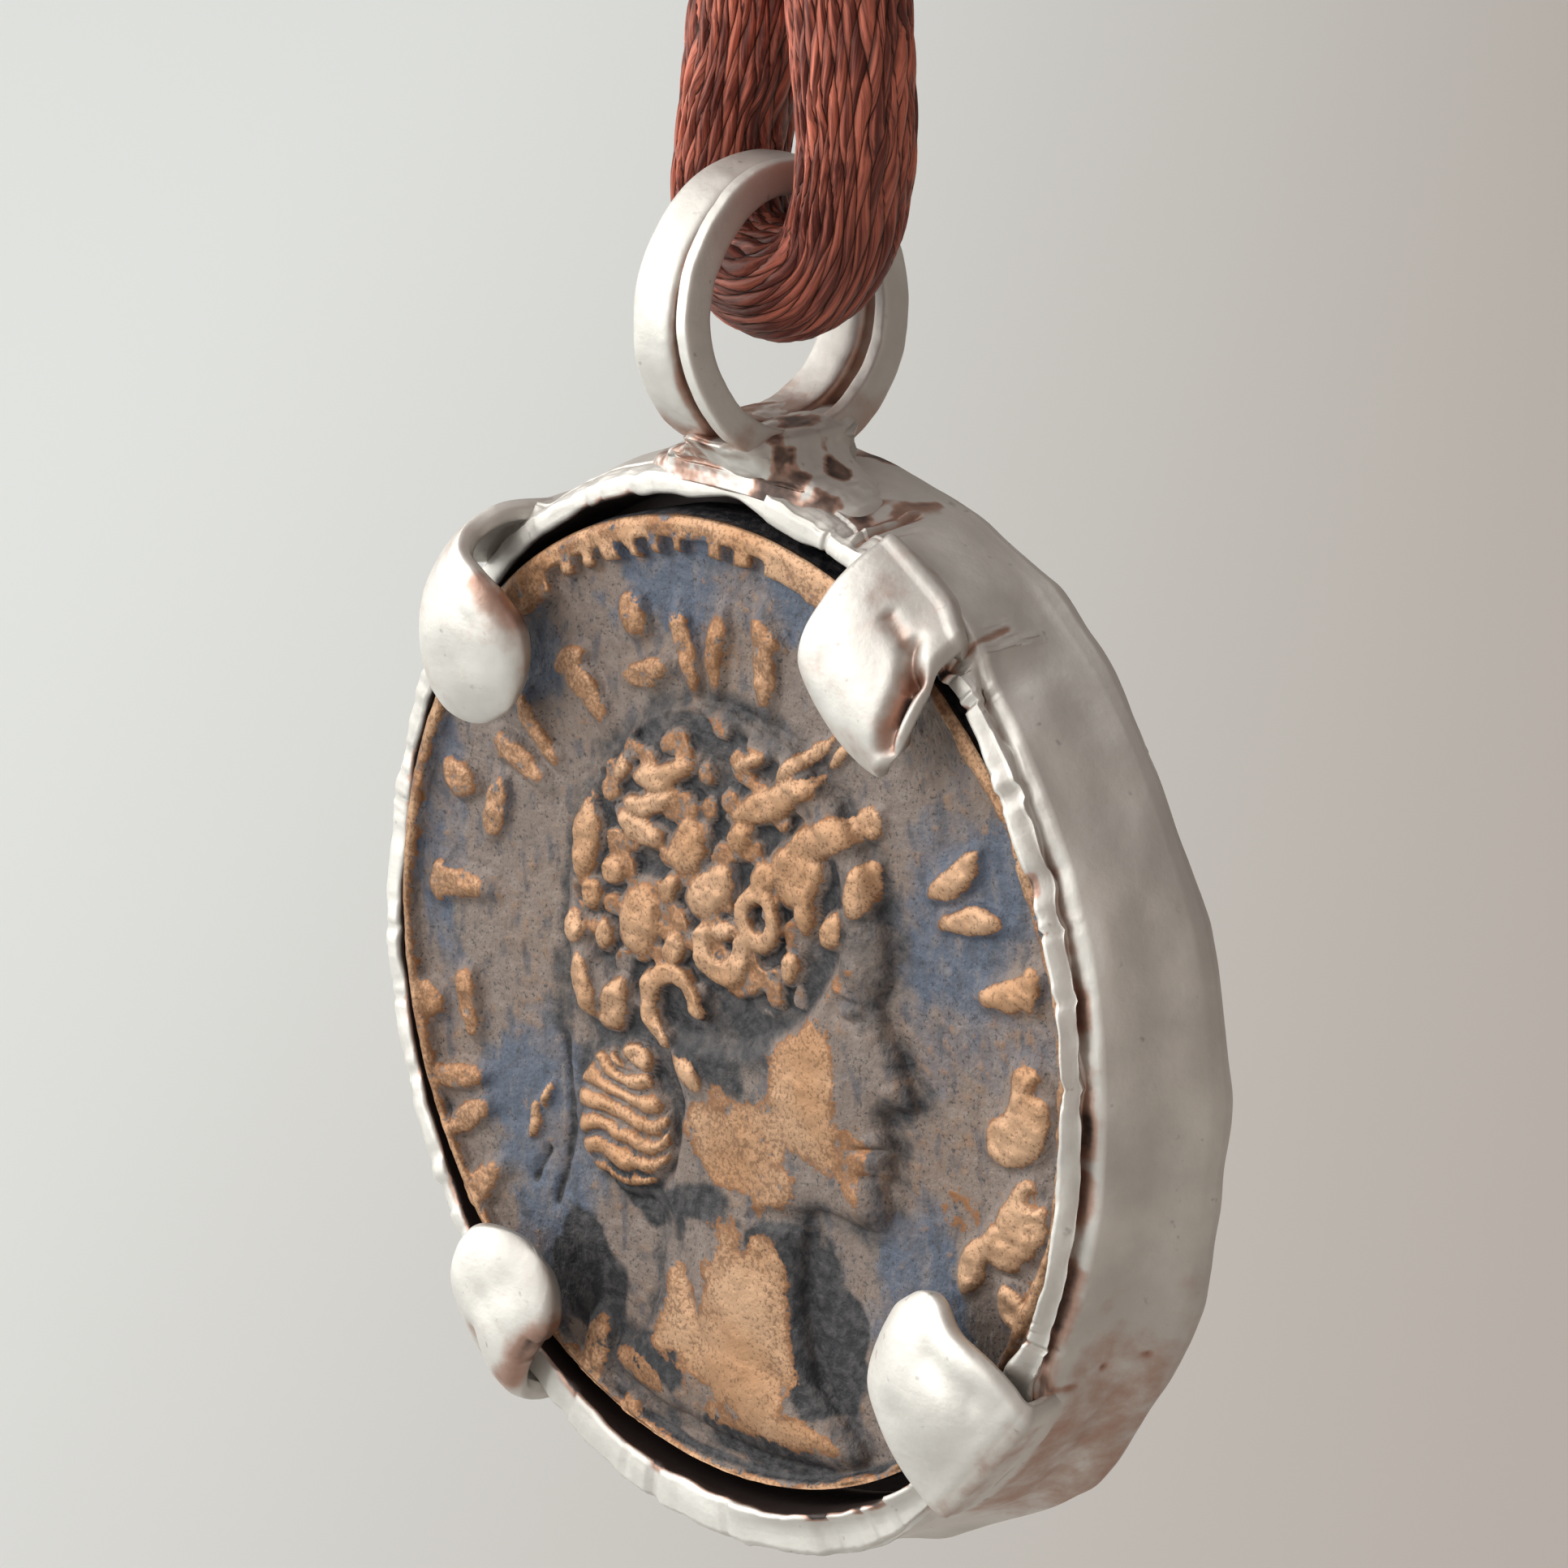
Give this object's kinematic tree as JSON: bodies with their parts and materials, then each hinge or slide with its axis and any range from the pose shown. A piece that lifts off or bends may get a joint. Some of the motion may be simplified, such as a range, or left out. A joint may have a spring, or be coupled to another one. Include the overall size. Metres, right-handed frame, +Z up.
{
  "type": "coin pendant on a cord necklace",
  "caption": "Round coin held by folded petal claws in a hammered metal band, hanging by a double ring bail from a thick cord worn round the neck.",
  "frame": {"origin": "where the necklace lies on the nape of the neck, under the clasp", "axes": "+X to the right of one who faces the coin, +Y from the coin's face to its back, +Z up"},
  "size_m": [0.123, 0.008, 0.1843],
  "materials": {
    "setting": "bright satin hand-worked silver, darker in the hollows",
    "coin": "worn bronze, copper on the raised parts and grey-blue patina in the fields",
    "neck_cord": "satin cord of diagonal twisted yarns, reddish brown",
    "clasp": "plain satin silver"
  },
  "bodies": {
    "necklace": {"neck_cord": "neck_cord", "clasp": "clasp"},
    "pendant": {"setting": "setting", "coin": "coin"}
  },
  "joints": [
    {"name": "pendant_swing", "type": "hinge", "parent": "necklace", "child": "pendant", "pos_m": [0, 0, -0.1432], "axis": [1, 0, 0], "range_deg": [-60, 60]}
  ]
}
